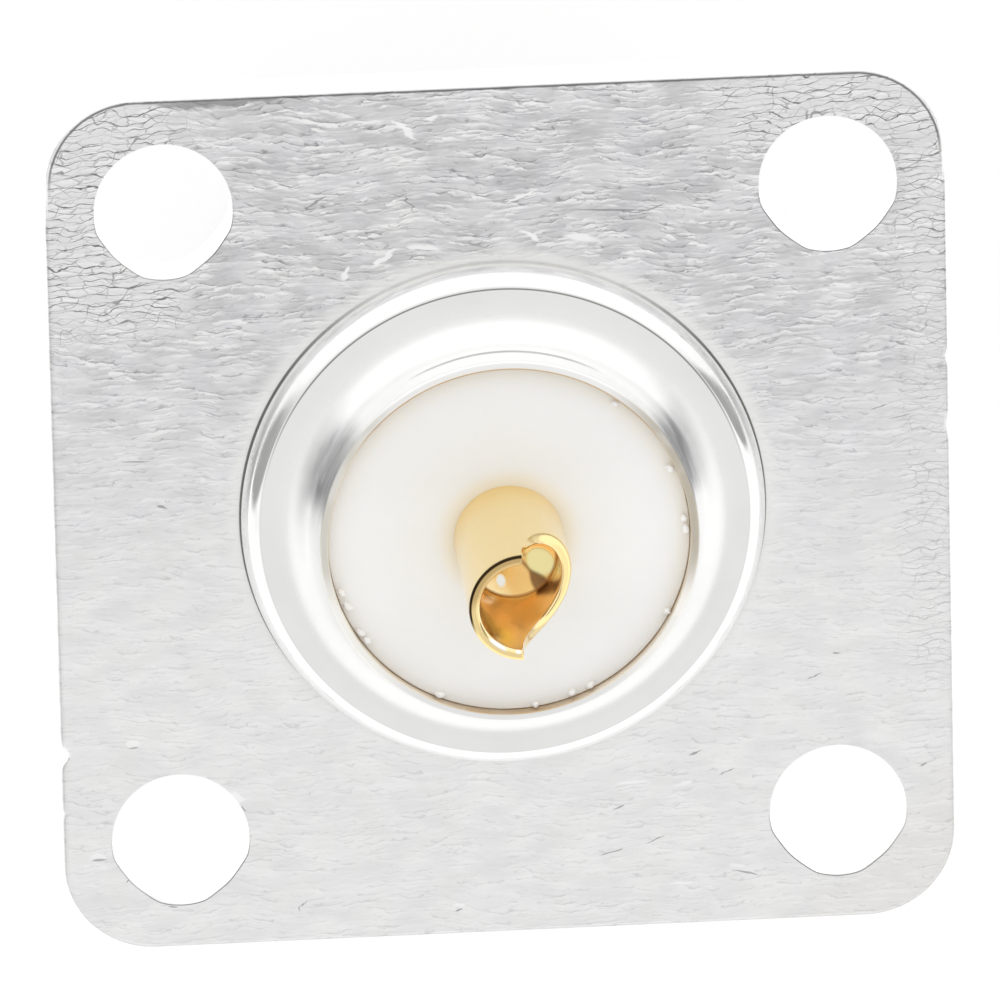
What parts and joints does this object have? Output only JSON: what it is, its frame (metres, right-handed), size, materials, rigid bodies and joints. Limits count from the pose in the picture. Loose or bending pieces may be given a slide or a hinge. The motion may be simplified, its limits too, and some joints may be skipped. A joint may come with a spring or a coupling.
{
  "type": "n type connector",
  "caption": "Square flange coaxial panel jack with a threaded mating end, slotted socket contact and a scooped solder cup.",
  "frame": {"origin": "centre of the flange's front face, which lies against the panel, at the middle of the four screw holes", "axes": "+Z along the axis of the jack towards the solder cup, X and Y along the sides of the flange, the solder cup scooped open towards -X"},
  "size_m": [0.0248, 0.0248, 0.0229],
  "materials": {
    "plate_metal": "stamped brass with a dull, finely wrinkled silver grey plating",
    "body_metal": "turned brass with a bright silver white plating",
    "insulator": "waxy white translucent fluoropolymer",
    "contact_gold": "polished gold plating on a copper alloy"
  },
  "bodies": {
    "root": {"flange_plate": "plate_metal", "jack_body": "body_metal", "front_insulator": "insulator", "rear_insulator": "insulator", "centre_contact": "contact_gold"}
  },
  "joints": []
}
